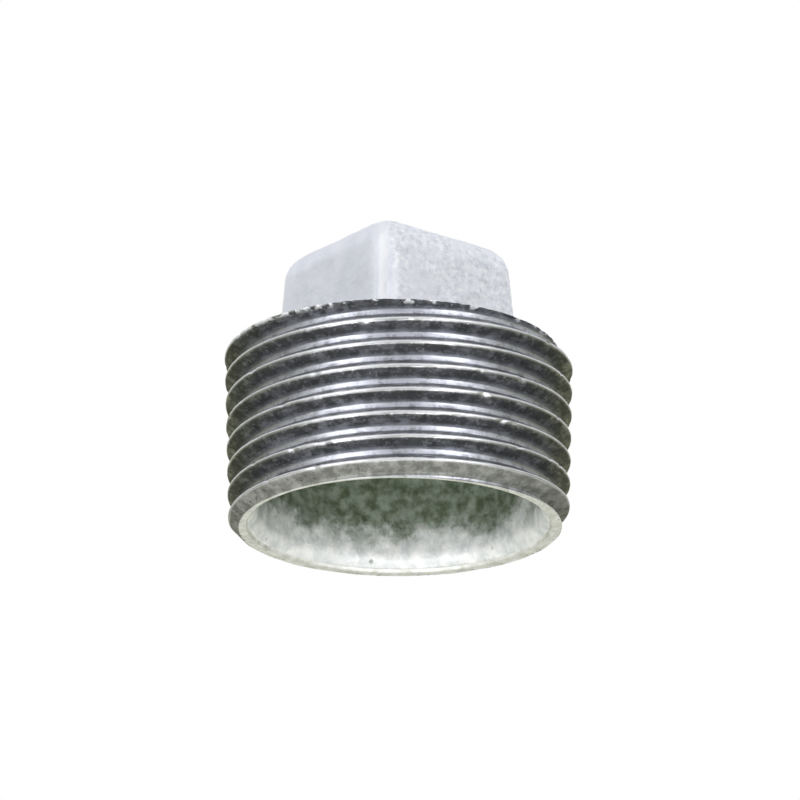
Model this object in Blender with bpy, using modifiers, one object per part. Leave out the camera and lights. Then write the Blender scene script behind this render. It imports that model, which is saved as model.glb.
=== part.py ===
"""Hollow square-head pipe plug with an R 1 external taper thread.

The plug is one malleable-iron casting that is hot-dip galvanised and threaded afterwards.
The die and the facing tool strip the zinc from the thread, the end face and the mouth's chamfer, so
the zinc is left as two separate coats: one over the square head and shoulder, one in the hollow.
Metres, +Z up. The origin is the centre of the open end face, and the head is at the top.
"""

import math

import bmesh
import bpy
from mathutils import Vector

MM = 0.001

# Taper pipe thread, size 1: 11 threads to the inch, 55 degree rounded form, right hand
PITCH = 25.4 / 11 * MM
GAUGE_RADIUS = 33.249 / 2 * MM
GAUGE_HEIGHT = 8.1 * MM
RADIUS_TAPER = 1 / 32
FLANK_ANGLE = math.radians(27.5)
THREAD_DEPTH = 0.640327 * PITCH
THREAD_ROUNDING = 0.137278 * PITCH
THREAD_LENGTH = 17.15 * MM
FIRST_CREST_HEIGHT = 2.14 * MM
THREAD_STEPS = 48

# Lead chamfer, 45 degrees, where the thread starts at the end face
LEAD_RADIUS = 15.7 * MM
LEAD_CUTTER_RADIUS = 18.0 * MM

# Square head with cast draft and rounded corners
HEAD_ACROSS_FLATS = 18.2 * MM
HEAD_TOP = 28.45 * MM
HEAD_DRAFT = math.radians(3.5)
HEAD_ROUNDING = 2.9 * MM
HEAD_ROUNDING_STEPS = 4

# Hollow, open at the bottom through a chamfered mouth
MOUTH_RADIUS = 14.7 * MM
CHAMFER_TOP = 1.0 * MM
HOLLOW_RADIUS = 13.7 * MM
HOLLOW_DEPTH = 13.6 * MM
HOLLOW_DRAFT = math.radians(2.0)
HOLLOW_ROUNDING = 5.0 * MM
HOLLOW_ROUNDING_STEPS = 6
ROUND_STEPS = 48

# Zinc coat, its clearance to the iron, and the rim that the die strips
COAT = 0.10 * MM
COAT_GAP = 0.02 * MM
SHOULDER_COAT_RADIUS = 15.1 * MM

# How far a cutter or a joined core runs past the face that it crosses
OVERRUN = 1.5 * MM
WELD_DISTANCE = 0.001 * MM
SMOOTH_ANGLE = math.radians(35)

IRON_COLOUR = (0.16, 0.17, 0.16, 1)
ZINC_COLOUR = (0.62, 0.63, 0.66, 1)


def new_collection(name):
    collection = bpy.data.collections.new(name)
    bpy.context.scene.collection.children.link(collection)
    return collection


def new_object(name, mesh, collection):
    thing = bpy.data.objects.new(name, mesh)
    collection.objects.link(thing)
    return thing


def mark_as_cutter(thing):
    thing.hide_render = True
    thing.display_type = "WIRE"
    return thing


def profile_object(name, points, collection):
    """An open outline in the XZ plane, ready to be turned about Z."""
    mesh = bpy.data.meshes.new(name)
    edges = [(i, i + 1) for i in range(len(points) - 1)]
    mesh.from_pydata([(x, 0, z) for x, z in points], edges, [])
    return new_object(name, mesh, collection)


def turn(thing, steps):
    """Turn an outline that starts and ends on the Z axis into a closed solid."""
    screw = thing.modifiers.new("turn", "SCREW")
    screw.axis = "Z"
    screw.angle = math.tau
    screw.steps = steps
    screw.render_steps = steps
    screw.use_merge_vertices = True
    screw.merge_threshold = WELD_DISTANCE
    return thing


def boolean(thing, operation, other):
    cut = thing.modifiers.new(operation.lower(), "BOOLEAN")
    cut.operation = operation
    cut.solver = "EXACT"
    cut.object = other


def use_evaluated_mesh(thing):
    """Keep the shape that an object's modifiers give as its own mesh."""
    depsgraph = bpy.context.evaluated_depsgraph_get()
    mesh = bpy.data.meshes.new_from_object(thing.evaluated_get(depsgraph))
    thing.modifiers.clear()
    thing.data = mesh


def finish(thing, colour, roughness, metallic):
    """Give a part its own material and smooth shading between its sharp edges."""
    use_evaluated_mesh(thing)
    thing.data.shade_smooth()
    thing.data.set_sharp_from_angle(angle=SMOOTH_ANGLE)
    material = bpy.data.materials.new(thing.name)
    material.use_nodes = True
    shader = material.node_tree.nodes["Principled BSDF"]
    shader.inputs["Base Color"].default_value = colour
    shader.inputs["Roughness"].default_value = roughness
    shader.inputs["Metallic"].default_value = metallic
    thing.data.materials.clear()
    thing.data.materials.append(material)


def thread_outline():
    """One pitch of the thread from root to root, top to bottom, about a crest at height 0."""
    tangent = math.pi / 2 - FLANK_ANGLE
    arc_height = THREAD_ROUNDING * math.sin(tangent)
    arc_depth = THREAD_ROUNDING * (1 - math.cos(tangent))
    upper_half = [
        (THREAD_DEPTH, PITCH / 2),
        (THREAD_DEPTH - arc_depth, PITCH / 2 - arc_height),
        (arc_depth, arc_height),
    ]
    lower_half = [(depth, -height) for depth, height in reversed(upper_half)]
    return [*upper_half, (0, 0), *lower_half]


def threaded_body(name, collection):
    """A solid tapered screw, faced off flat at both ends."""
    turns = math.ceil(THREAD_LENGTH / PITCH) + 3
    first_crest = FIRST_CREST_HEIGHT - 3 * PITCH
    points = [(GAUGE_RADIUS - depth, first_crest + height) for depth, height in thread_outline()]
    body = profile_object(name, points, collection)

    screw = body.modifiers.new("helix", "SCREW")
    screw.axis = "Z"
    screw.angle = math.tau
    screw.screw_offset = PITCH
    screw.iterations = turns
    screw.steps = THREAD_STEPS
    screw.render_steps = THREAD_STEPS
    weld = body.modifiers.new("join turns", "WELD")
    weld.merge_threshold = WELD_DISTANCE
    use_evaluated_mesh(body)

    bm = bmesh.new()
    bm.from_mesh(body.data)
    for vert in bm.verts:
        radius = vert.co.xy.length
        tapered = radius + (vert.co.z - GAUGE_HEIGHT) * RADIUS_TAPER
        vert.co.xy *= tapered / radius
    for height, outward in ((0, Vector((0, 0, -1))), (THREAD_LENGTH, Vector((0, 0, 1)))):
        everything = [*bm.verts, *bm.edges, *bm.faces]
        cut = bmesh.ops.bisect_plane(
            bm, geom=everything, dist=1e-9, plane_co=(0, 0, height), plane_no=outward, clear_outer=True
        )
        rim = [item for item in cut["geom_cut"] if isinstance(item, bmesh.types.BMEdge)]
        bmesh.ops.contextual_create(bm, geom=rim)
    bmesh.ops.recalc_face_normals(bm, faces=bm.faces)
    bm.to_mesh(body.data)
    bm.free()
    return body


def head_solid(name, inset, base, collection):
    """The drafted square head with rounded edges, its whole skin moved inwards by inset."""
    top = HEAD_TOP - inset
    bm = bmesh.new()
    bmesh.ops.create_cube(bm, size=2)
    for vert in bm.verts:
        height = top if vert.co.z > 0 else base
        half_width = HEAD_ACROSS_FLATS / 2 - inset - (height - THREAD_LENGTH) * math.tan(HEAD_DRAFT)
        vert.co = Vector((vert.co.x * half_width, vert.co.y * half_width, height))
    weight = bm.edges.layers.float.new("bevel_weight_edge")
    for edge in bm.edges:
        edge[weight] = float(any(vert.co.z > base for vert in edge.verts))
    mesh = bpy.data.meshes.new(name)
    bm.to_mesh(mesh)
    bm.free()
    head = new_object(name, mesh, collection)
    bevel = head.modifiers.new("rounding", "BEVEL")
    bevel.limit_method = "WEIGHT"
    bevel.width = HEAD_ROUNDING - inset
    bevel.segments = HEAD_ROUNDING_STEPS
    return head


def hollow_outline(offset):
    """From the middle of the hollow's end, down its wall to the chamfer, moved outwards by offset."""
    centre_height = HOLLOW_DEPTH - HOLLOW_ROUNDING
    wall_at_corner = HOLLOW_RADIUS - (centre_height - CHAMFER_TOP) * math.tan(HOLLOW_DRAFT)
    centre_radius = wall_at_corner - HOLLOW_ROUNDING / math.cos(HOLLOW_DRAFT)
    rounding = HOLLOW_ROUNDING + offset
    points = [(0, HOLLOW_DEPTH + offset)]
    for step in range(HOLLOW_ROUNDING_STEPS + 1):
        share = step / HOLLOW_ROUNDING_STEPS
        angle = math.pi / 2 + share * (HOLLOW_DRAFT - math.pi / 2)
        points.append(
            (centre_radius + rounding * math.cos(angle), centre_height + rounding * math.sin(angle))
        )
    points.append((HOLLOW_RADIUS + offset / math.cos(HOLLOW_DRAFT), CHAMFER_TOP))
    return points


def plug_casting(parts, cutters):
    """Bare iron: the threaded body with its hollow, and the head's core standing on it."""
    casting = threaded_body("plug_casting", parts)
    mouth = [(MOUTH_RADIUS, 0), (MOUTH_RADIUS, -OVERRUN), (0, -OVERRUN)]
    outline = [*hollow_outline(COAT), *mouth]
    hollow = turn(profile_object("hollow_cutter", outline, cutters), ROUND_STEPS)
    outline = [
        (0, THREAD_LENGTH + OVERRUN),
        (LEAD_CUTTER_RADIUS, THREAD_LENGTH + OVERRUN),
        (LEAD_CUTTER_RADIUS, LEAD_CUTTER_RADIUS - LEAD_RADIUS),
        (LEAD_RADIUS - OVERRUN, -OVERRUN),
        (0, -OVERRUN),
    ]
    lead = turn(profile_object("lead_envelope", outline, cutters), ROUND_STEPS)
    core = head_solid("head_core", COAT, THREAD_LENGTH - OVERRUN, cutters)
    boolean(casting, "DIFFERENCE", mark_as_cutter(hollow))
    boolean(casting, "INTERSECT", mark_as_cutter(lead))
    boolean(casting, "UNION", mark_as_cutter(core))
    finish(casting, IRON_COLOUR, roughness=0.35, metallic=0.9)


def zinc_coat_head(parts, cutters):
    """Zinc over the square head, with a thin flange over the shoulder."""
    bottom = THREAD_LENGTH + COAT_GAP
    top = THREAD_LENGTH + COAT
    outline = [(0, top), (SHOULDER_COAT_RADIUS, top), (SHOULDER_COAT_RADIUS, bottom), (0, bottom)]
    coat = turn(profile_object("zinc_coat_head", outline, parts), ROUND_STEPS)
    outer = head_solid("coat_outside", 0, (bottom + top) / 2, cutters)
    inner = head_solid("coat_inside", COAT - COAT_GAP, THREAD_LENGTH - OVERRUN, cutters)
    boolean(coat, "UNION", mark_as_cutter(outer))
    boolean(coat, "DIFFERENCE", mark_as_cutter(inner))
    finish(coat, ZINC_COLOUR, roughness=0.45, metallic=0.7)


def zinc_coat_hollow(parts):
    """Zinc lining the hollow, cut off by the mouth's chamfer."""
    outline = [*hollow_outline(COAT - COAT_GAP), *reversed(hollow_outline(0))]
    coat = turn(profile_object("zinc_coat_hollow", outline, parts), ROUND_STEPS)
    finish(coat, ZINC_COLOUR, roughness=0.4, metallic=0.7)


for old in list(bpy.data.objects):
    bpy.data.objects.remove(old)
plug_parts = new_collection("square_head_pipe_plug")
plug_cutters = new_collection("cutters")
plug_casting(plug_parts, plug_cutters)
zinc_coat_head(plug_parts, plug_cutters)
zinc_coat_hollow(plug_parts)
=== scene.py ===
"""Finish and surface detail of a hollow square-head pipe plug, galvanised and then threaded.

Three pieces are built at full detail: the casting with its cut thread, the zinc over the head
and the zinc in the hollow. Lengths are metres, +Z runs from the open end to the head.
"""

import math

import bmesh
import bpy
import numpy as np
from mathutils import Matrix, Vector, noise


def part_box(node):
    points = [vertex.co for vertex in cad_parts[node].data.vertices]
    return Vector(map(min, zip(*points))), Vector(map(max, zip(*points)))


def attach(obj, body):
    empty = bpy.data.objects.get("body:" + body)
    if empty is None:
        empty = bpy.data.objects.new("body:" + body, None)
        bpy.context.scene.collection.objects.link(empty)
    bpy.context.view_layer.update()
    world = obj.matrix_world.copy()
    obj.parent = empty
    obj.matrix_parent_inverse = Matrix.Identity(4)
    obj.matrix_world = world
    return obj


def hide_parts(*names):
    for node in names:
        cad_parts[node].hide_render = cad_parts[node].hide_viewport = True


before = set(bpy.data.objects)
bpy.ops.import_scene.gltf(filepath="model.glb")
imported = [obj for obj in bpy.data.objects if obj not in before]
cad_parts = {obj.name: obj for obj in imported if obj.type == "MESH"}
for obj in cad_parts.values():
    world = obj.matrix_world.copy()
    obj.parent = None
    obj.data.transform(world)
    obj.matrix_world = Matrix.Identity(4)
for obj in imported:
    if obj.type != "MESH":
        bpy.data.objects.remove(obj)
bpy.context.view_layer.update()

MM = 0.001

# Thread: 11 to the inch, 55 degree rounded form, taper 1 in 16 on diameter, right hand
PITCH = 25.4 / 11 * MM
GAUGE_RADIUS = 33.249 / 2 * MM
GAUGE_HEIGHT = 8.1 * MM
RADIUS_TAPER = 1 / 32
FLANK_ANGLE = math.radians(27.5)
THREAD_DEPTH = 0.640327 * PITCH
THREAD_ROUNDING = 0.137278 * PITCH
FIRST_CREST_HEIGHT = 2.14 * MM
THREAD_COLUMNS = 340
ROOT_HALF_FLAT = 0.25 * MM
ROOT_FILLET = 0.10 * MM
FLAT_STEPS = 2
ARC_STEPS = 4
FLANK_STEPS = 4

# Lead chamfer on the outside of the faced end
LEAD_RADIUS = 15.7 * MM

# Zinc head, which the mould left a little off the thread's axis
HEAD_HALF = 9.0 * MM
HEAD_DRAFT = math.radians(3.5)
HEAD_CORNER = 2.4 * MM
HEAD_TOP_ROUNDING = 3.1 * MM
HEAD_FILLET = 0.6 * MM
HEAD_OFFSET = (-0.15 * MM, 0.12 * MM)
PARTING_HALF_WIDTH = 0.5 * MM
PARTING_SHIFT = -0.05 * MM
PARTING_RISE = 0.05 * MM
PARTING_INNER = PARTING_HALF_WIDTH - 0.05 * MM
PARTING_OUTER = PARTING_HALF_WIDTH + 0.1 * MM

# Zinc: the room it has, its thickness, its clearance to the iron, how far its skin is let in,
# and how far the head's iron core lies inside the zinc's outline
COAT = 0.1 * MM
COAT_SKIN = 0.08 * MM
COAT_GAP = 0.02 * MM
COAT_SUNK = 0.06 * MM
CORE_INSET = 0.35 * MM

# Hollow
MOUTH_RADIUS = 14.7 * MM
CHAMFER_TOP = 1.0 * MM
FLARE_TOP = 1.9 * MM
HOLLOW_RADIUS = 13.7 * MM
HOLLOW_DRAFT = math.radians(2.0)
HOLLOW_ROUNDING = 5.0 * MM
HOLLOW_COLUMNS = 288

FACE_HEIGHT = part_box("plug_casting")[0].z
SHOULDER_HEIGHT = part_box("zinc_coat_head")[0].z - COAT_GAP
HEAD_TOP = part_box("zinc_coat_head")[1].z
HOLLOW_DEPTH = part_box("zinc_coat_hollow")[1].z - COAT_SKIN
FLANGE_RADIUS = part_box("zinc_coat_head")[1].x
FIRST_TURN_END = FACE_HEIGHT + 2.25 * MM
HEAD_FOOT_TOP = SHOULDER_HEIGHT + COAT + HEAD_FILLET
HEAD_SEAM_PLACE = (HEAD_OFFSET[0] - HEAD_OFFSET[1]) / math.sqrt(2) + PARTING_SHIFT


# ---------------------------------------------------------------- mesh helpers


def noise_at(point, size, seed=0.0):
    """Smooth noise between -1 and 1 whose lumps are about size across."""
    return noise.noise(Vector((point[0] / size + seed, point[1] / size, point[2] / size)))


def smooth_step(low, high, value):
    share = min(max((value - low) / (high - low), 0.0), 1.0)
    return share * share * (3 - 2 * share)


def polar(radius, angle, height):
    return (radius * math.cos(angle), radius * math.sin(angle), height)


def object_from_bmesh(name, bm):
    bmesh.ops.recalc_face_normals(bm, faces=bm.faces)
    mesh = bpy.data.meshes.new(name)
    bm.to_mesh(mesh)
    bm.free()
    thing = bpy.data.objects.new(name, mesh)
    bpy.context.scene.collection.objects.link(thing)
    return thing


def add_rings(bm, rings):
    """Vertices for a list of rings, each a list of points, joined by quads."""
    rows = [[bm.verts.new(point) for point in ring] for ring in rings]
    for lower, upper in zip(rows, rows[1:]):
        count = len(lower)
        for i in range(count):
            j = (i + 1) % count
            bm.faces.new((lower[i], lower[j], upper[j], upper[i]))
    return rows


def close_ring(bm, row, point):
    """A fan from a ring to a point."""
    centre = bm.verts.new(point)
    for i, vert in enumerate(row):
        bm.faces.new((vert, row[(i + 1) % len(row)], centre))


def ring_edges(row):
    edges = []
    for i, vert in enumerate(row):
        other = row[(i + 1) % len(row)]
        edges.extend(edge for edge in vert.link_edges if edge.other_vert(vert) is other)
    return edges


def fill_between(bm, rim, row):
    """A flat, triangulated face between the edges of a cut and a ring inside them."""
    edges = rim + ring_edges(row)
    bmesh.ops.triangle_fill(bm, edges=edges, use_beauty=True, use_dissolve=False)


def circle(radius, height, count):
    return [polar(radius, math.tau * i / count, height) for i in range(count)]


def rounded_square(half, corner, height, side_steps=22, corner_steps=24):
    """A square outline with round corners, always with the same number of points."""
    centre = half - corner
    points = []
    for quarter in range(4):
        turn = quarter * math.pi / 2
        cos_turn, sin_turn = math.cos(turn), math.sin(turn)
        local = []
        for step in range(corner_steps):
            angle = step / corner_steps * math.pi / 2
            local.append((centre + corner * math.cos(angle), centre + corner * math.sin(angle)))
        for step in range(side_steps):
            local.append((centre - 2 * centre * step / side_steps, half))
        points.extend((x * cos_turn - y * sin_turn, x * sin_turn + y * cos_turn, height) for x, y in local)
    return points


# ---------------------------------------------------------------- the casting


def thread_rows():
    """Depth below the crest and height over one pitch, from one root up to just under the next.

    The crest is round. The root is a flat with small fillets, as a worn die cuts it.
    """
    tangent = math.pi / 2 - FLANK_ANGLE
    crest_height = THREAD_ROUNDING * math.sin(tangent)
    crest_depth = THREAD_ROUNDING * (1 - math.cos(tangent))
    root_depth = crest_depth + (PITCH / 2 - ROOT_HALF_FLAT - crest_height) / math.tan(FLANK_ANGLE)
    fillet_reach = ROOT_FILLET * math.tan(tangent / 2)
    flat_end = ROOT_HALF_FLAT - fillet_reach
    rows = [(root_depth, -PITCH / 2 + flat_end * step / FLAT_STEPS) for step in range(FLAT_STEPS)]
    for step in range(ARC_STEPS):
        angle = tangent * step / ARC_STEPS
        depth = root_depth - ROOT_FILLET * (1 - math.cos(angle))
        rows.append((depth, -PITCH / 2 + flat_end + ROOT_FILLET * math.sin(angle)))
    low = (
        root_depth - ROOT_FILLET * (1 - math.cos(tangent)),
        -PITCH / 2 + flat_end + ROOT_FILLET * math.sin(tangent),
    )
    high = (crest_depth, -crest_height)
    for step in range(FLANK_STEPS):
        share = step / FLANK_STEPS
        rows.append((low[0] + share * (high[0] - low[0]), low[1] + share * (high[1] - low[1])))
    for step in range(ARC_STEPS):
        angle = tangent * (1 - step / ARC_STEPS)
        rows.append((THREAD_ROUNDING * (1 - math.cos(angle)), -THREAD_ROUNDING * math.sin(angle)))
    mirrored = [(depth, -height) for depth, height in reversed(rows[1:])]
    return [*rows, (0.0, 0.0), *mirrored]


def thread_point(column, turn, depth, height):
    """A point on the cut thread, with the small waves, tears and nicks that a die leaves."""
    angle = math.tau * column / THREAD_COLUMNS
    z = FIRST_CREST_HEIGHT + (turn + column / THREAD_COLUMNS) * PITCH + height
    radius = GAUGE_RADIUS + (z - GAUGE_HEIGHT) * RADIUS_TAPER - depth
    point = polar(radius, angle, z)
    on_crest = 1 - smooth_step(0.0, 0.35 * THREAD_DEPTH, depth)
    in_root = smooth_step(0.8 * THREAD_DEPTH, THREAD_DEPTH, depth)
    swell = 0.04 * MM + 0.015 * MM * noise_at(point, 2.2 * MM, 3.0)
    tear = 0.05 * MM * max(noise_at(point, 0.8 * MM, 7.0) - 0.1, 0.0) * (on_crest + 0.8 * in_root)
    nick = 0.16 * MM * smooth_step(0.40, 0.62, noise_at(point, 1.1 * MM, 11.0)) * on_crest
    radius += swell - tear - nick
    z += 0.02 * MM * noise_at(point, 1.4 * MM, 19.0) * (1 - in_root)
    lead = LEAD_RADIUS + z - FACE_HEIGHT + 0.12 * MM * noise_at(point, 2.5 * MM, 23.0)
    return polar(min(radius, lead), angle, z)


def thread_surface(bm):
    """The helical thread as one open sleeve that runs past both end faces."""
    rows = thread_rows()
    low_turn = -3
    turns = math.ceil(SHOULDER_HEIGHT / PITCH) + 4
    grid = []
    for turn in range(low_turn, low_turn + turns):
        for depth, height in rows:
            grid.append(
                [bm.verts.new(thread_point(c, turn, depth, height)) for c in range(THREAD_COLUMNS)]
            )
    for i in range(len(grid) - 1):
        for c in range(THREAD_COLUMNS):
            if c + 1 < THREAD_COLUMNS:
                bm.faces.new((grid[i][c], grid[i][c + 1], grid[i + 1][c + 1], grid[i + 1][c]))
            elif i + len(rows) + 1 < len(grid):
                after, above = grid[i + len(rows)][0], grid[i + len(rows) + 1][0]
                bm.faces.new((grid[i][c], after, above, grid[i + 1][c]))


def cut_level(bm, height, outward):
    """Cut the sleeve off at a height and return the edges of the cut."""
    everything = [*bm.verts, *bm.edges, *bm.faces]
    cut = bmesh.ops.bisect_plane(
        bm, geom=everything, dist=1e-9, plane_co=(0, 0, height), plane_no=outward, clear_outer=True
    )
    return [item for item in cut["geom_cut"] if isinstance(item, bmesh.types.BMEdge)]


def hollow_profile(offset, lip_start, feather=0.0):
    """Radius and height up the chamfer, which eases into the wall, and on to the middle of the end.

    feather is how far outwards the edge on the chamfer lies, so that a coat thins out there.
    """
    flare_steps, wall_steps, round_steps, flat_steps = 12, 24, 14, 6
    centre_height = HOLLOW_DEPTH - HOLLOW_ROUNDING
    end_radius = HOLLOW_RADIUS - (centre_height - CHAMFER_TOP) * math.tan(HOLLOW_DRAFT)
    flare_end = HOLLOW_RADIUS - (FLARE_TOP - CHAMFER_TOP) * math.tan(HOLLOW_DRAFT)
    points = []
    for step in range(flare_steps):
        share = lip_start + (1 - lip_start) * step / flare_steps
        thin = feather * (1 - smooth_step(lip_start, 0.6, share))
        radius = flare_end + (MOUTH_RADIUS - flare_end) * (1 - share) ** 2 + offset + thin
        points.append((radius, share * FLARE_TOP))
    for step in range(wall_steps + 1):
        share = step / wall_steps
        height = FLARE_TOP + share * (centre_height - FLARE_TOP)
        points.append((flare_end + share * (end_radius - flare_end) + offset, height))
    rounding = HOLLOW_ROUNDING + offset
    centre_radius = end_radius - HOLLOW_ROUNDING
    for step in range(1, round_steps + 1):
        angle = math.pi / 2 * step / round_steps
        radius = centre_radius + rounding * math.cos(angle)
        points.append((radius, centre_height + rounding * math.sin(angle)))
    for step in range(1, flat_steps):
        points.append((centre_radius * (1 - step / flat_steps), HOLLOW_DEPTH + offset))
    return points


def plug_casting():
    bm = bmesh.new()
    thread_surface(bm)
    face_rim = cut_level(bm, FACE_HEIGHT, Vector((0, 0, -1)))
    shoulder_rim = cut_level(bm, SHOULDER_HEIGHT, Vector((0, 0, 1)))

    wall = [(MOUTH_RADIUS, FACE_HEIGHT), *hollow_profile(COAT * 1.2, 0.08)]
    rings = [circle(radius, height, HOLLOW_COLUMNS) for radius, height in wall]
    rows = add_rings(bm, rings)
    close_ring(bm, rows[-1], (0, 0, wall[-1][1]))
    fill_between(bm, face_rim, rows[0])

    core_rings = [
        rounded_square(half - CORE_INSET, max(corner - CORE_INSET, 0.2 * MM), height)
        for half, corner, height in head_levels(HEAD_TOP - CORE_INSET, SHOULDER_HEIGHT)
    ]
    core = add_rings(bm, [[move_to_head(point) for point in ring] for ring in core_rings])
    close_ring(bm, core[-1], move_to_head((0, 0, HEAD_TOP - CORE_INSET)))
    fill_between(bm, shoulder_rim, core[0])

    ragged = {vert for edge in shoulder_rim if edge.is_valid for vert in edge.verts}
    for vert in ragged:
        chip = max(noise_at(vert.co, 0.7 * MM, 31.0), -0.2)
        vert.co.z -= 0.14 * MM * chip
        vert.co.xy *= 1 - 0.006 * max(noise_at(vert.co, 0.9 * MM, 37.0), 0.0)
    casting = object_from_bmesh("threaded_casting", bm)
    casting.data.shade_smooth()
    casting.data.set_sharp_from_angle(angle=math.radians(32))
    return casting


# ---------------------------------------------------------------- the zinc coats


def head_levels(top, base):
    """Half width, corner radius and height of the head's rings, from its base to the edge of its top."""
    levels = []
    straight_top = top - HEAD_TOP_ROUNDING
    side_steps = 18
    for step in range(side_steps + 1):
        height = base + (straight_top - base) * step / side_steps
        levels.append((HEAD_HALF - (height - base) * math.tan(HEAD_DRAFT), HEAD_CORNER, height))
    half_at_top = levels[-1][0]
    round_steps = 14
    for step in range(1, round_steps + 1):
        angle = math.pi / 2 * step / round_steps
        inset = HEAD_TOP_ROUNDING * (1 - math.cos(angle))
        corner = HEAD_CORNER - 0.45 * inset
        levels.append((half_at_top - inset, corner, straight_top + HEAD_TOP_ROUNDING * math.sin(angle)))
    return levels


def move_to_head(point):
    return (point[0] + HEAD_OFFSET[0], point[1] + HEAD_OFFSET[1], point[2])


def shoulder_radius(angle):
    """Radius of the thread where the shoulder cuts it, at an angle round the axis."""
    rows = thread_rows()
    crest = FIRST_CREST_HEIGHT + angle / math.tau * PITCH
    from_crest = (SHOULDER_HEIGHT - crest) / PITCH
    from_crest = (from_crest - round(from_crest)) * PITCH
    depth = np.interp(from_crest, [height for _, height in rows], [depth for depth, _ in rows])
    return GAUGE_RADIUS + (SHOULDER_HEIGHT - GAUGE_HEIGHT) * RADIUS_TAPER - depth


def flange_ring(outline, share, height):
    """A ring of the zinc on the shoulder. share is 0 at its ragged edge and 1 at the head's foot."""
    ring = []
    for x, y, _ in outline:
        angle = math.atan2(y, x)
        edge_point = polar(FLANGE_RADIUS, angle, height)
        reach = 0.5 + 0.9 * noise_at(edge_point, 1.6 * MM, 41.0)
        limit = shoulder_radius(angle) - 0.12 * MM
        edge = min(FLANGE_RADIUS + 0.9 * MM * reach, limit)
        bead = 0.34 * MM * max(noise_at(edge_point, 1.1 * MM, 43.0), 0.0) * (1 - share) ** 2
        edge_x, edge_y, _ = polar(edge, angle, height)
        ring.append((edge_x + share * (x - edge_x), edge_y + share * (y - edge_y), height + bead))
    return ring


def zinc_coat_head():
    """Zinc over the head, down a small fillet and out over the shoulder, with its cast lumps."""
    skin = SHOULDER_HEIGHT + COAT
    levels = head_levels(HEAD_TOP, skin + HEAD_FILLET)
    base_half, base_corner, _ = levels[0]
    flange_steps, fillet_steps, top_steps = 10, 5, 12
    foot = rounded_square(base_half + HEAD_FILLET, base_corner + HEAD_FILLET, skin)
    foot = [move_to_head(point) for point in foot]
    rings = [flange_ring(foot, step / flange_steps, skin) for step in range(flange_steps)]
    head_rings = []
    for step in range(fillet_steps):
        angle = math.pi / 2 * step / fillet_steps
        out = HEAD_FILLET * (1 - math.sin(angle))
        height = skin + HEAD_FILLET * (1 - math.cos(angle))
        head_rings.append(rounded_square(base_half + out, base_corner + out, height))
    head_rings.extend(rounded_square(*level) for level in levels)
    half, corner, _ = levels[-1]
    for step in range(1, top_steps):
        share = 1 - step / top_steps
        head_rings.append(rounded_square(half * share, corner * share, HEAD_TOP))
    rings.extend([move_to_head(point) for point in ring] for ring in head_rings)

    bm = bmesh.new()
    rows = add_rings(bm, rings)
    close_ring(bm, rows[-1], move_to_head((0, 0, HEAD_TOP)))
    bmesh.ops.recalc_face_normals(bm, faces=bm.faces)
    bm.normal_update()
    moves = []
    for vert in bm.verts:
        p = vert.co
        lumps = 1 - 0.8 * smooth_step(0.6, 0.95, -vert.normal.x)
        swell = 0.03 * MM * noise_at(p, 4.5 * MM, 2.0)
        grain = 0.05 * MM * noise_at(p, 1.2 * MM, 5.0) + 0.04 * MM * noise_at(p, 0.6 * MM, 8.0)
        across = abs((p.x - p.y) / math.sqrt(2) - HEAD_SEAM_PLACE)
        seam = smooth_step(PARTING_OUTER, PARTING_INNER, across)
        seam *= smooth_step(skin, HEAD_FOOT_TOP, p.z)
        moves.append(vert.normal * (swell + grain * lumps + PARTING_RISE * seam - COAT_SUNK))
    for vert, move in zip(bm.verts, moves):
        vert.co += move
    coat = object_from_bmesh("head_zinc", bm)
    give_thickness(coat, -1)
    return coat


def zinc_coat_hollow():
    """Zinc lining the hollow: runs and lumps down the wall, and an uneven edge on the chamfer."""
    bm = bmesh.new()
    profile = hollow_profile(0, 0.16, COAT)
    rings = [circle(radius, height, HOLLOW_COLUMNS) for radius, height in profile]
    rows = add_rings(bm, rings)
    close_ring(bm, rows[-1], (0, 0, HOLLOW_DEPTH))
    for vert in bm.verts:
        p = vert.co
        if p.xy.length < 2 * MM:
            continue
        run_point = (p.x, p.y, p.z * 0.7)
        runs = 0.16 * MM * noise_at(run_point, 2.2 * MM, 4.0)
        runs += 0.09 * MM * noise_at(run_point, 0.9 * MM, 9.0)
        full = smooth_step(0.5 * FLARE_TOP, 1.3 * FLARE_TOP, p.z)
        p.xy *= 1 + (runs - 0.05 * MM) * (0.3 + 0.7 * full) / p.xy.length
    coat = object_from_bmesh("hollow_zinc", bm)
    give_thickness(coat, 1)
    return coat


def give_thickness(coat, side):
    """Turn an open skin into a closed coat. side is -1 to grow inwards and 1 to grow outwards."""
    solid = coat.modifiers.new("thickness", "SOLIDIFY")
    solid.thickness = COAT_SKIN
    solid.offset = side
    coat.data.shade_smooth()


# ---------------------------------------------------------------- materials


def new_group(name, inputs, outputs):
    tree = bpy.data.node_groups.new(name, "ShaderNodeTree")
    for label, kind, value in inputs:
        socket = tree.interface.new_socket(name=label, in_out="INPUT", socket_type=kind)
        socket.default_value = value
    for label, kind in outputs:
        tree.interface.new_socket(name=label, in_out="OUTPUT", socket_type=kind)
    return tree, tree.nodes.new("NodeGroupInput"), tree.nodes.new("NodeGroupOutput")


def math_node(tree, operation, first, second=None, third=None, clamp=False):
    node = tree.nodes.new("ShaderNodeMath")
    node.operation = operation
    node.use_clamp = clamp
    for slot, value in enumerate((first, second, third)):
        if value is None:
            continue
        if isinstance(value, (int, float)):
            node.inputs[slot].default_value = value
        else:
            tree.links.new(value, node.inputs[slot])
    return node.outputs[0]


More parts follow.
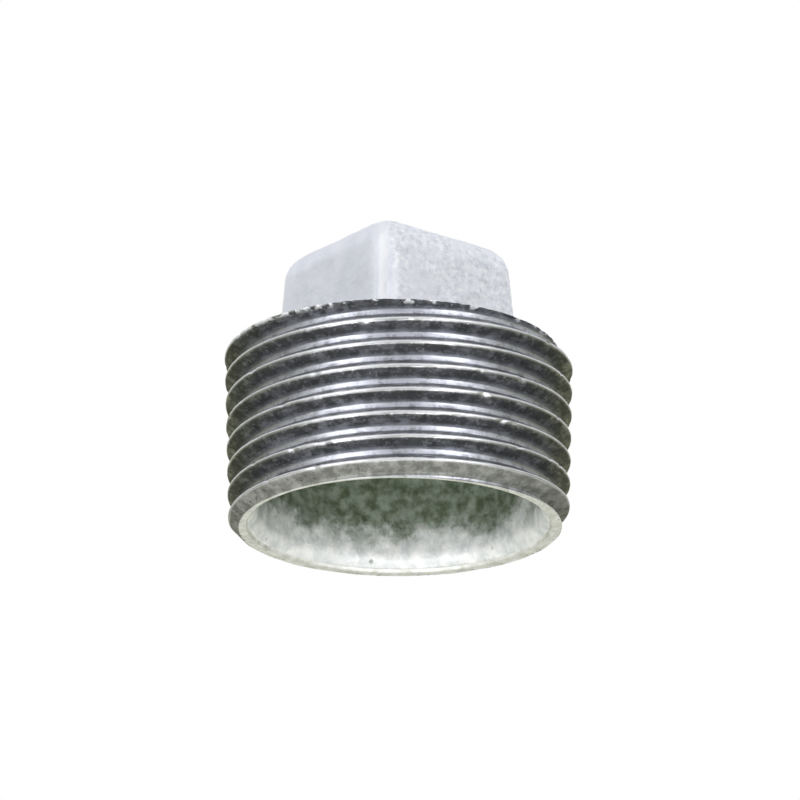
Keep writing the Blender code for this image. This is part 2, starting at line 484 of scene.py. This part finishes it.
def range_node(tree, value, low, high, to_low=0.0, to_high=1.0):
    node = tree.nodes.new("ShaderNodeMapRange")
    node.interpolation_type = "SMOOTHSTEP"
    for slot, item in enumerate((value, low, high, to_low, to_high)):
        if isinstance(item, (int, float)):
            node.inputs[slot].default_value = item
        else:
            tree.links.new(item, node.inputs[slot])
    return node.outputs[0]


def mix_colour(tree, factor, first, second):
    node = tree.nodes.new("ShaderNodeMix")
    node.data_type = "RGBA"
    for slot, item in ((0, factor), (6, first), (7, second)):
        if isinstance(item, (int, float, tuple)):
            node.inputs[slot].default_value = item
        else:
            tree.links.new(item, node.inputs[slot])
    return node.outputs[2]


def place_group(tree, group, **values):
    node = tree.nodes.new("ShaderNodeGroup")
    node.node_tree = group
    for key, value in values.items():
        node.inputs[key.replace("_", " ")].default_value = value
    return node


def scaled_position(tree, stretch=None):
    """Object coordinates, divided by stretch along X, Y and Z where it is given."""
    coordinates = tree.nodes.new("ShaderNodeTexCoord")
    if stretch is None:
        return coordinates.outputs["Object"]
    scale = tree.nodes.new("ShaderNodeVectorMath")
    scale.operation = "DIVIDE"
    tree.links.new(coordinates.outputs["Object"], scale.inputs[0])
    scale.inputs[1].default_value = stretch
    return scale.outputs[0]


def split_axes(tree, vector):
    """The X, Y and Z outputs of a vector."""
    split = tree.nodes.new("ShaderNodeSeparateXYZ")
    tree.links.new(vector, split.inputs[0])
    return split.outputs


def noise_value(tree, position, scale, detail=3.0, roughness=0.55):
    node = tree.nodes.new("ShaderNodeTexNoise")
    tree.links.new(position, node.inputs["Vector"])
    if isinstance(scale, (int, float)):
        node.inputs["Scale"].default_value = scale
    else:
        tree.links.new(scale, node.inputs["Scale"])
    node.inputs["Detail"].default_value = detail
    node.inputs["Roughness"].default_value = roughness
    return node.outputs["Fac"]


def cast_skin_group():
    """Lumps, grain and small pits of a sand-cast or dipped skin, as one height."""
    tree, given, result = new_group(
        "Cast skin",
        [
            ("Lump Scale", "NodeSocketFloat", 700.0),
            ("Grain", "NodeSocketFloat", 0.4),
            ("Pitting", "NodeSocketFloat", 1.0),
        ],
        [("Height", "NodeSocketFloat"), ("Pits", "NodeSocketFloat")],
    )
    position = scaled_position(tree)
    lumps = noise_value(tree, position, given.outputs["Lump Scale"], 4.0, 0.5)
    fine_scale = math_node(tree, "MULTIPLY", given.outputs["Lump Scale"], 5.0)
    grain = noise_value(tree, position, fine_scale, 3.0, 0.6)
    pit_field = tree.nodes.new("ShaderNodeTexVoronoi")
    tree.links.new(position, pit_field.inputs["Vector"])
    pit_scale = math_node(tree, "MULTIPLY", given.outputs["Lump Scale"], 1.3)
    tree.links.new(pit_scale, pit_field.inputs["Scale"])
    gate = range_node(tree, noise_value(tree, position, 260.0, 2.0), 0.52, 0.68)
    near = range_node(tree, pit_field.outputs["Distance"], 0.10, 0.26, 1.0, 0.0)
    pits = math_node(tree, "MULTIPLY", near, gate)
    pits = math_node(tree, "MULTIPLY", pits, given.outputs["Pitting"])
    height = math_node(tree, "MULTIPLY_ADD", grain, given.outputs["Grain"], lumps)
    height = math_node(tree, "MULTIPLY_ADD", pits, -0.8, height)
    tree.links.new(height, result.inputs["Height"])
    tree.links.new(pits, result.inputs["Pits"])
    return tree


def zinc_mottle_group():
    """Cloudy light and dark patches and small bright flecks of hot-dip zinc, as a colour."""
    tree, given, result = new_group(
        "Zinc mottle",
        [
            ("Light", "NodeSocketColor", (0.8, 0.8, 0.8, 1)),
            ("Dark", "NodeSocketColor", (0.4, 0.4, 0.4, 1)),
            ("Fleck", "NodeSocketColor", (1.0, 1.0, 1.0, 1)),
            ("Patch Scale", "NodeSocketFloat", 300.0),
            ("Fleck Amount", "NodeSocketFloat", 0.5),
        ],
        [("Color", "NodeSocketColor"), ("Flecks", "NodeSocketFloat")],
    )
    position = scaled_position(tree, (1.0, 1.0, 1.3))
    cloud = noise_value(tree, position, given.outputs["Patch Scale"], 5.0, 0.62)
    cloud = range_node(tree, cloud, 0.32, 0.68)
    base = mix_colour(tree, cloud, given.outputs["Dark"], given.outputs["Light"])
    fleck_field = noise_value(tree, position, 1500.0, 2.0, 0.5)
    flecks = range_node(tree, fleck_field, 0.60, 0.74)
    flecks = math_node(tree, "MULTIPLY", flecks, given.outputs["Fleck Amount"], clamp=True)
    colour = mix_colour(tree, flecks, base, given.outputs["Fleck"])
    tree.links.new(colour, result.inputs["Color"])
    tree.links.new(flecks, result.inputs["Flecks"])
    return tree


def thread_place_group():
    """Where a point lies on the thread: crest, root, lower flank, and the last flank by the face."""
    tree, given, result = new_group(
        "Thread place",
        [("Crest Width", "NodeSocketFloat", 0.08), ("Root Width", "NodeSocketFloat", 0.12)],
        [
            ("Crest", "NodeSocketFloat"),
            ("Root", "NodeSocketFloat"),
            ("Above Root", "NodeSocketFloat"),
            ("Last Flank", "NodeSocketFloat"),
        ],
    )
    x, y, z = split_axes(tree, scaled_position(tree))
    around = math_node(tree, "ARCTAN2", y, x)
    around = math_node(tree, "DIVIDE", around, math.tau)
    height = math_node(tree, "SUBTRACT", z, FIRST_CREST_HEIGHT)
    height = math_node(tree, "DIVIDE", height, PITCH)
    turns = math_node(tree, "SUBTRACT", height, around)
    phase = math_node(tree, "FRACT", math_node(tree, "ADD", turns, 0.5))
    below_crest = math_node(tree, "SUBTRACT", 0.5, phase)
    from_crest = math_node(tree, "ABSOLUTE", below_crest)
    crest = range_node(tree, from_crest, 0.0, given.outputs["Crest Width"], 1.0, 0.0)
    root_start = math_node(tree, "SUBTRACT", 0.5, given.outputs["Root Width"])
    root = range_node(tree, from_crest, root_start, 0.47)
    own_crest = math_node(tree, "MULTIPLY_ADD", below_crest, PITCH, z)
    first_turn = range_node(tree, own_crest, FIRST_TURN_END, FIRST_TURN_END + 0.2 * MM, 1.0, 0.0)
    lower = range_node(tree, below_crest, 0.02, 0.06)
    tree.links.new(crest, result.inputs["Crest"])
    tree.links.new(root, result.inputs["Root"])
    tree.links.new(range_node(tree, below_crest, 0.28, 0.45), result.inputs["Above Root"])
    tree.links.new(math_node(tree, "MULTIPLY", first_turn, lower), result.inputs["Last Flank"])
    return tree


# Colours of the zinc
ZINC_PIT = (0.16, 0.17, 0.15, 1)
# Painted shadow of small lumps
LUMP_SHADOW = (0.66, 0.68, 0.70, 1)
ZINC_SPLASH = (1.0, 1.0, 0.99, 1)
# Painted highlight along the raised parting line
PARTING_HIGHLIGHT = (0.97, 0.97, 0.97, 1)

# Painted shade in the hollow, dark olive deeper in: its edge wanders, and it is full from the second height
# on
DEEP_SHADE_WANDER = 9.0 * MM
DEEP_SHADE_START = FACE_HEIGHT + 6.6 * MM
DEEP_SHADE_FULL = FACE_HEIGHT + 9.8 * MM
DEEP_SHADE_DARK = (0.070, 0.095, 0.052, 1)
DEEP_SHADE_LIGHT = (0.23, 0.275, 0.225, 1)

# Colours of the cut iron. The dark flank colours are partly streaks and oil film, partly painted shade
STREAK_DARK = (0.16, 0.165, 0.185, 1)
STREAK_LIGHT = (0.50, 0.51, 0.54, 1)
OIL_AND_FLANK_SHADE = (0.13, 0.135, 0.14, 1)
BRIGHT_SPECK = (0.7, 0.7, 0.72, 1)
# Painted highlight over the lower flank next to the root
LOWER_FLANK_HIGHLIGHT = (0.60, 0.61, 0.66, 1)
# Painted highlight in the roots
ROOT_HIGHLIGHT = (0.72, 0.73, 0.79, 1)
LAST_FLANK_DARK = (0.16, 0.165, 0.15, 1)
LAST_FLANK_LIGHT = (0.34, 0.345, 0.33, 1)
# Painted highlight on the crests
CREST_HIGHLIGHT = (0.86, 0.86, 0.86, 1)
MOUTH_LIGHT = (0.93, 0.93, 0.91, 1)
MOUTH_DARK = (0.66, 0.67, 0.62, 1)
MOUTH_PIT = (0.22, 0.23, 0.2, 1)
TORN_METAL = (0.07, 0.07, 0.065, 1)
ZINC_FLAKE = (0.78, 0.79, 0.82, 1)
FLAKED_SIDE = (-0.97, 0.24, 0.0)


def new_material(name):
    material = bpy.data.materials.new(name)
    material.use_nodes = True
    tree = material.node_tree
    return material, tree, tree.nodes["Principled BSDF"]


def add_bump(tree, shader, height, distance, strength=1.0):
    bump = tree.nodes.new("ShaderNodeBump")
    bump.inputs["Distance"].default_value = distance
    bump.inputs["Strength"].default_value = strength
    tree.links.new(height, bump.inputs["Height"])
    tree.links.new(bump.outputs["Normal"], shader.inputs["Normal"])


def zinc_base(name, skin, mottle, finish):
    """The nodes that both zinc coats share. Gives the material, its tree, its shader and a colour."""
    material, tree, shader = new_material(name)
    surface = place_group(
        tree, skin, Lump_Scale=finish["lump_scale"], Grain=0.35, Pitting=finish["pitting"]
    )
    colour = place_group(
        tree,
        mottle,
        Light=finish["light"],
        Dark=finish["dark"],
        Patch_Scale=finish["patch_scale"],
        Fleck_Amount=finish["flecks"],
    )
    roughness = finish["roughness"]
    rough = range_node(tree, colour.outputs["Flecks"], 0.0, 1.0, roughness, roughness - 0.12)
    tree.links.new(rough, shader.inputs["Roughness"])
    shader.inputs["Metallic"].default_value = finish["metallic"]
    add_bump(tree, shader, surface.outputs["Height"], finish["bump"])
    pitted = mix_colour(tree, surface.outputs["Pits"], colour.outputs["Color"], ZINC_PIT)
    return material, tree, shader, pitted


def head_zinc_material(skin, mottle):
    """Satin, pale lavender-grey zinc."""
    finish = {
        "light": (0.87, 0.88, 0.91, 1),
        "dark": (0.79, 0.805, 0.84, 1),
        "patch_scale": 500.0,
        "flecks": 0.25,
        "lump_scale": 800.0,
        "pitting": 0.0,
        "roughness": 0.32,
        "metallic": 0.8,
        "bump": 0.04 * MM,
    }
    material, tree, shader, colour = zinc_base("head_zinc", skin, mottle, finish)
    position = scaled_position(tree)
    x, y, z = split_axes(tree, position)
    rough_side = range_node(tree, x, -7.9 * MM, -7.2 * MM)
    spatter = noise_value(tree, position, 1750.0, 3.0, 0.6)
    patches = range_node(tree, noise_value(tree, position, 210.0, 2.0), 0.36, 0.52, 0.3, 1.0)
    patches = math_node(tree, "MULTIPLY", patches, rough_side)
    # One flat is whitened a quarter of the way, then given pale splashes and darker marks painted as the
    # shadows of small lumps
    colour = mix_colour(tree, math_node(tree, "MULTIPLY", rough_side, 0.25), colour, ZINC_SPLASH)
    lump_shadows = math_node(tree, "MULTIPLY", range_node(tree, spatter, 0.34, 0.49, 0.7, 0.0), patches)
    colour = mix_colour(tree, lump_shadows, colour, LUMP_SHADOW)
    splashes = math_node(tree, "MULTIPLY", range_node(tree, spatter, 0.54, 0.62), patches)
    colour = mix_colour(tree, splashes, colour, ZINC_SPLASH)

    # The raised parting line is also whitened in colour, as a painted highlight along it
    across = math_node(tree, "SUBTRACT", x, y)
    across = math_node(tree, "MULTIPLY_ADD", across, 1 / math.sqrt(2), -HEAD_SEAM_PLACE)
    across = math_node(tree, "ABSOLUTE", across)
    seam = range_node(tree, across, PARTING_INNER, PARTING_OUTER, 0.45, 0.0)
    above_foot = range_node(tree, z, SHOULDER_HEIGHT, HEAD_FOOT_TOP)
    seam = math_node(tree, "MULTIPLY", seam, above_foot)
    colour = mix_colour(tree, seam, colour, PARTING_HIGHLIGHT)
    tree.links.new(colour, shader.inputs["Base Color"])
    return material


def hollow_zinc_material(skin, mottle):
    """White zinc with runs near the mouth, darkened olive deeper in by painted shade."""
    finish = {
        "light": (0.94, 0.945, 0.95, 1),
        "dark": (0.66, 0.69, 0.71, 1),
        "patch_scale": 700.0,
        "flecks": 0.5,
        "lump_scale": 620.0,
        "pitting": 0.8,
        "roughness": 0.48,
        "metallic": 0.15,
        "bump": 0.09 * MM,
    }
    material, tree, shader, colour = zinc_base("hollow_zinc", skin, mottle, finish)
    position = scaled_position(tree)
    height = split_axes(tree, position)[2]
    # Painted shade: the hollow turns dark olive deeper in, along a wandering edge
    edge = noise_value(tree, position, 260.0, 6.0, 0.7)
    edge_height = math_node(tree, "MULTIPLY_ADD", edge, DEEP_SHADE_WANDER, height)
    deep = range_node(tree, edge_height, DEEP_SHADE_START, DEEP_SHADE_FULL)
    spots = range_node(tree, noise_value(tree, position, 900.0, 3.0, 0.6), 0.3, 0.7)
    painted_deep_shade = mix_colour(tree, spots, DEEP_SHADE_DARK, DEEP_SHADE_LIGHT)
    tree.links.new(mix_colour(tree, deep, colour, painted_deep_shade), shader.inputs["Base Color"])
    return material


def thread_colour(tree, where, streaks, blotch, speckle):
    """Streaked flanks, dark with oil film and painted shade, painted highlights near the roots and on the
    crests, and a duller last flank.
    """
    # Dark flanks: streaks and blotches of oil film, darkened further as painted shade
    flank = mix_colour(tree, range_node(tree, streaks, 0.35, 0.68), STREAK_DARK, STREAK_LIGHT)
    flank = mix_colour(tree, range_node(tree, blotch, 0.42, 0.62), OIL_AND_FLANK_SHADE, flank)
    flank = mix_colour(tree, range_node(tree, speckle, 0.60, 0.78, 0.0, 0.7), flank, BRIGHT_SPECK)
    # Painted highlight rising over the lower flank towards the root
    clean = range_node(tree, streaks, 0.36, 0.58, 0.25, 0.9)
    lower_flank_highlight = math_node(tree, "MULTIPLY", where.outputs["Above Root"], clean)
    flank = mix_colour(tree, lower_flank_highlight, flank, LOWER_FLANK_HIGHLIGHT)
    # Painted highlight in the roots, broken up by the blotches
    root = math_node(
        tree, "MULTIPLY", where.outputs["Root"], range_node(tree, blotch, 0.35, 0.55, 0.45, 1.0)
    )
    # Painted highlight along the crests, a little broken up by the streaks
    crest = math_node(
        tree, "MULTIPLY", where.outputs["Crest"], range_node(tree, streaks, 0.25, 0.5, 0.7, 1.0)
    )
    last = mix_colour(tree, range_node(tree, blotch, 0.36, 0.64), LAST_FLANK_DARK, LAST_FLANK_LIGHT)
    colour = mix_colour(tree, root, flank, ROOT_HIGHLIGHT)
    colour = mix_colour(tree, where.outputs["Last Flank"], colour, last)
    return mix_colour(tree, crest, colour, CREST_HIGHLIGHT)


def mouth_mask(tree, from_axis, height):
    """1 on the faced end and on the mouth's chamfer, 0 on the thread."""
    face = range_node(tree, height, FACE_HEIGHT + 0.01 * MM, FACE_HEIGHT + 0.05 * MM, 1.0, 0.0)
    inside = range_node(tree, from_axis, MOUTH_RADIUS, MOUTH_RADIUS + 0.05 * MM, 1.0, 0.0)
    low = range_node(tree, height, FACE_HEIGHT + 1.5 * MM, FACE_HEIGHT + 1.7 * MM, 1.0, 0.0)
    return math_node(tree, "MAXIMUM", face, math_node(tree, "MULTIPLY", inside, low))


def flake_mask(tree, position, height):
    """Zinc flakes left just under the shoulder, denser on one side."""
    near_shoulder = range_node(tree, height, SHOULDER_HEIGHT - 0.45 * MM, SHOULDER_HEIGHT)
    towards = tree.nodes.new("ShaderNodeVectorMath")
    towards.operation = "DOT_PRODUCT"
    towards.inputs[1].default_value = FLAKED_SIDE
    tree.links.new(position, towards.inputs[0])
    least = range_node(tree, towards.outputs["Value"], 10 * MM, 15 * MM, 0.55, 0.46)
    most = math_node(tree, "ADD", least, 0.05)
    flakes = range_node(tree, noise_value(tree, position, 1100.0, 3.0, 0.6), least, most)
    return math_node(tree, "MULTIPLY", near_shoulder, flakes)


def cut_iron_material(skin, place, mottle):
    """Cut iron: the thread, the faced and chamfered end, and flakes of zinc at the shoulder."""
    material, tree, shader = new_material("cut_iron")
    where = place_group(tree, place, Crest_Width=0.10, Root_Width=0.22)
    position = scaled_position(tree)
    x, y, z = split_axes(tree, position)
    flat = tree.nodes.new("ShaderNodeCombineXYZ")
    tree.links.new(x, flat.inputs[0])
    tree.links.new(y, flat.inputs[1])
    across = tree.nodes.new("ShaderNodeVectorMath")
    across.operation = "LENGTH"
    tree.links.new(flat.outputs[0], across.inputs[0])
    from_axis = across.outputs["Value"]
    streaks = noise_value(tree, scaled_position(tree, (1.0, 1.0, 0.10)), 380.0, 5.0, 0.65)
    blotch = noise_value(tree, position, 800.0, 5.0, 0.7)
    speckle = noise_value(tree, position, 3200.0, 2.0, 0.6)
    colour = thread_colour(tree, where, streaks, blotch, speckle)

    mouth = mouth_mask(tree, from_axis, z)
    cast = place_group(tree, skin, Lump_Scale=1400.0)
    pale = place_group(
        tree, mottle, Light=MOUTH_LIGHT, Dark=MOUTH_DARK, Patch_Scale=800.0, Fleck_Amount=0.4
    )
    pale_pitted = mix_colour(tree, cast.outputs["Pits"], pale.outputs["Color"], MOUTH_PIT)
    colour = mix_colour(tree, mouth, colour, pale_pitted)

    low = range_node(tree, z, FACE_HEIGHT + 0.5 * MM, FACE_HEIGHT + 0.9 * MM, 1.0, 0.0)
    torn = range_node(tree, noise_value(tree, position, 1900.0, 3.0), 0.60, 0.66)
    outer = range_node(tree, from_axis, MOUTH_RADIUS + 0.3 * MM, MOUTH_RADIUS + 0.9 * MM)
    torn = math_node(tree, "MULTIPLY", math_node(tree, "MULTIPLY", low, torn), outer)
    colour = mix_colour(tree, torn, colour, TORN_METAL)

    flakes = flake_mask(tree, position, z)
    colour = mix_colour(tree, flakes, colour, ZINC_FLAKE)
    tree.links.new(colour, shader.inputs["Base Color"])

    matt = math_node(tree, "MAXIMUM", math_node(tree, "MAXIMUM", mouth, flakes), where.outputs["Last Flank"])
    tree.links.new(range_node(tree, matt, 0.0, 1.0, 0.93, 0.35), shader.inputs["Metallic"])
    burnish = range_node(tree, streaks, 0.3, 0.7, 0.44, 0.32)
    rough = math_node(tree, "MULTIPLY_ADD", matt, 0.2, burnish)
    tree.links.new(rough, shader.inputs["Roughness"])
    height = math_node(tree, "MULTIPLY_ADD", speckle, 0.5, streaks)
    height = math_node(tree, "MULTIPLY_ADD", blotch, 0.7, height)
    add_bump(tree, shader, height, 0.03 * MM, 0.8)
    return material


# ---------------------------------------------------------------- studio

VIEW_AZIMUTH = math.radians(-128.66)
VIEW_RISE = math.radians(18.12)
VIEW_DISTANCE = 0.5
LENS_MM = 233.8
SENSOR_MM = 36.0
AIM_HEIGHT = 12.20 * MM
AIM_SIDE = 0.115 * MM
LIT_POINT = Vector((0, 0, 0.014))
LIGHT_DISTANCE = 0.45
SOFTBOX_SIZE = (0.23, 0.11)
SOFTBOX_COLOUR = (0.96, 0.97, 1.0)
BENCH_LIGHT_SIZE = (0.20, 0.20)
BENCH_LIGHT_COLOUR = (1.0, 0.99, 1.0)


# What the metal mirrors: colours of the surroundings by height
TENT = (0.83, 0.845, 0.90, 1)
BACK_BAND = (0.36, 0.37, 0.24, 1)
SIDE_BAND = (0.13, 0.135, 0.07, 1)
FRONT_BAND = (0.30, 0.31, 0.34, 1)
PANEL = (0.96, 0.965, 0.99, 1)
BENCH = (0.34, 0.355, 0.29, 1)
BACK_BENCH = (0.14, 0.15, 0.085, 1)


def make_camera():
    outward = Vector((math.cos(VIEW_AZIMUTH), math.sin(VIEW_AZIMUTH), 0))
    side = Vector((-outward.y, outward.x, 0))
    place = VIEW_DISTANCE * (math.cos(VIEW_RISE) * outward - math.sin(VIEW_RISE) * Vector((0, 0, 1)))
    up = math.sin(VIEW_RISE) * outward + math.cos(VIEW_RISE) * Vector((0, 0, 1))
    target = AIM_SIDE * side + AIM_HEIGHT * up
    data = bpy.data.cameras.new("camera")
    data.lens = LENS_MM
    data.sensor_width = SENSOR_MM
    data.clip_start = 0.01
    camera = bpy.data.objects.new("camera", data)
    camera.location = place
    camera.rotation_euler = (target - place).to_track_quat("-Z", "Y").to_euler()
    bpy.context.scene.collection.objects.link(camera)
    bpy.context.scene.camera = camera


def area_light(name, azimuth_from_view, rise, size, power, colour):
    azimuth = VIEW_AZIMUTH + math.radians(azimuth_from_view)
    rise = math.radians(rise)
    direction = Vector(
        (math.cos(azimuth) * math.cos(rise), math.sin(azimuth) * math.cos(rise), math.sin(rise))
    )
    data = bpy.data.lights.new(name, "AREA")
    data.shape = "RECTANGLE"
    data.size, data.size_y = size
    data.energy = power
    data.color = colour
    light = bpy.data.objects.new(name, data)
    light.location = LIT_POINT + direction * LIGHT_DISTANCE
    light.rotation_euler = (-direction).to_track_quat("-Z", "Y").to_euler()
    light.visible_camera = False
    bpy.context.scene.collection.objects.link(light)


def make_world():
    """White to the eye; round the part a pale tent above, olive walls level with it, and the bench."""
    world = bpy.data.worlds.new("studio")
    bpy.context.scene.world = world
    world.use_nodes = True
    tree = world.node_tree
    tree.nodes.clear()
    output = tree.nodes.new("ShaderNodeOutputWorld")
    coordinates = tree.nodes.new("ShaderNodeTexCoord")
    x, y, rise = split_axes(tree, coordinates.outputs["Generated"])
    front_x = math_node(tree, "MULTIPLY", x, math.cos(VIEW_AZIMUTH))
    front = math_node(tree, "MULTIPLY_ADD", y, math.sin(VIEW_AZIMUTH), front_x)
    tent = range_node(tree, rise, 0.21, 0.40)
    below = range_node(tree, rise, -0.30, -0.22, 1.0, 0.0)
    facing = range_node(tree, front, 0.45, 0.85)
    behind = range_node(tree, front, -0.80, -0.35, 1.0, 0.0)
    level = mix_colour(tree, behind, SIDE_BAND, BACK_BAND)
    level = mix_colour(tree, facing, level, FRONT_BAND)
    bench_end = range_node(tree, front, -0.62, -0.34, 1.0, 0.0)
    bench = mix_colour(tree, bench_end, BENCH, BACK_BENCH)
    colour = mix_colour(tree, below, level, bench)
    colour = mix_colour(tree, tent, colour, TENT)
    side_x = math_node(tree, "MULTIPLY", x, -math.sin(VIEW_AZIMUTH))
    side = math_node(tree, "MULTIPLY_ADD", y, math.cos(VIEW_AZIMUTH), side_x)
    off_centre = math_node(tree, "ABSOLUTE", math_node(tree, "ADD", side, 0.14))
    panel = range_node(tree, off_centre, 0.30, 0.36, 1.0, 0.0)
    panel = math_node(tree, "MULTIPLY", panel, range_node(tree, rise, 0.34, 0.38))
    panel = math_node(tree, "MULTIPLY", panel, range_node(tree, front, 0.3, 0.5))
    colour = mix_colour(tree, panel, colour, PANEL)
    surround = tree.nodes.new("ShaderNodeBackground")
    tree.links.new(colour, surround.inputs["Color"])
    surround.inputs["Strength"].default_value = 1.0
    backdrop = tree.nodes.new("ShaderNodeBackground")
    backdrop.inputs["Color"].default_value = (1, 1, 1, 1)
    path = tree.nodes.new("ShaderNodeLightPath")
    mix = tree.nodes.new("ShaderNodeMixShader")
    tree.links.new(path.outputs["Is Camera Ray"], mix.inputs[0])
    tree.links.new(surround.outputs[0], mix.inputs[1])
    tree.links.new(backdrop.outputs[0], mix.inputs[2])
    tree.links.new(mix.outputs[0], output.inputs["Surface"])


def make_floor():
    """A pale floor that is seen from above only, so the open end can be seen from below."""
    bpy.ops.mesh.primitive_plane_add(size=20.0, location=(0, 0, FACE_HEIGHT - 0.02 * MM))
    floor = bpy.context.object
    floor.name = "floor"
    material, tree, shader = new_material("pale_floor")
    shader.inputs["Base Color"].default_value = (0.95, 0.945, 0.92, 1)
    shader.inputs["Roughness"].default_value = 0.7
    facing = tree.nodes.new("ShaderNodeNewGeometry")
    clear = tree.nodes.new("ShaderNodeBsdfTransparent")
    mix = tree.nodes.new("ShaderNodeMixShader")
    tree.links.new(facing.outputs["Backfacing"], mix.inputs[0])
    tree.links.new(shader.outputs[0], mix.inputs[1])
    tree.links.new(clear.outputs[0], mix.inputs[2])
    tree.links.new(mix.outputs[0], tree.nodes["Material Output"].inputs["Surface"])
    floor.data.materials.append(material)
    floor.visible_diffuse = False
    floor.visible_glossy = False
    floor.visible_shadow = False


# ---------------------------------------------------------------- assembly

cast_skin = cast_skin_group()
zinc_mottle = zinc_mottle_group()
thread_place = thread_place_group()

casting = plug_casting()
casting.data.materials.append(cut_iron_material(cast_skin, thread_place, zinc_mottle))
head = zinc_coat_head()
head.data.materials.append(head_zinc_material(cast_skin, zinc_mottle))
hollow = zinc_coat_hollow()
hollow.data.materials.append(hollow_zinc_material(cast_skin, zinc_mottle))

for piece, node, slot in (
    (casting, "plug_casting", "malleable_iron"),
    (head, "zinc_coat_head", "zinc_coat"),
    (hollow, "zinc_coat_hollow", "zinc_coat"),
):
    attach(piece, "root")
    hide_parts(node)

make_camera()
make_world()
make_floor()
area_light("left_softbox", -38, 5, SOFTBOX_SIZE, 0.46, SOFTBOX_COLOUR)
area_light("right_softbox", 38, 5, SOFTBOX_SIZE, 0.42, SOFTBOX_COLOUR)
area_light("left_bench_light", -38, -46, BENCH_LIGHT_SIZE, 1.05, BENCH_LIGHT_COLOUR)
area_light("right_bench_light", 30, -46, BENCH_LIGHT_SIZE, 0.85, BENCH_LIGHT_COLOUR)
bpy.context.scene.view_settings.view_transform = "Standard"
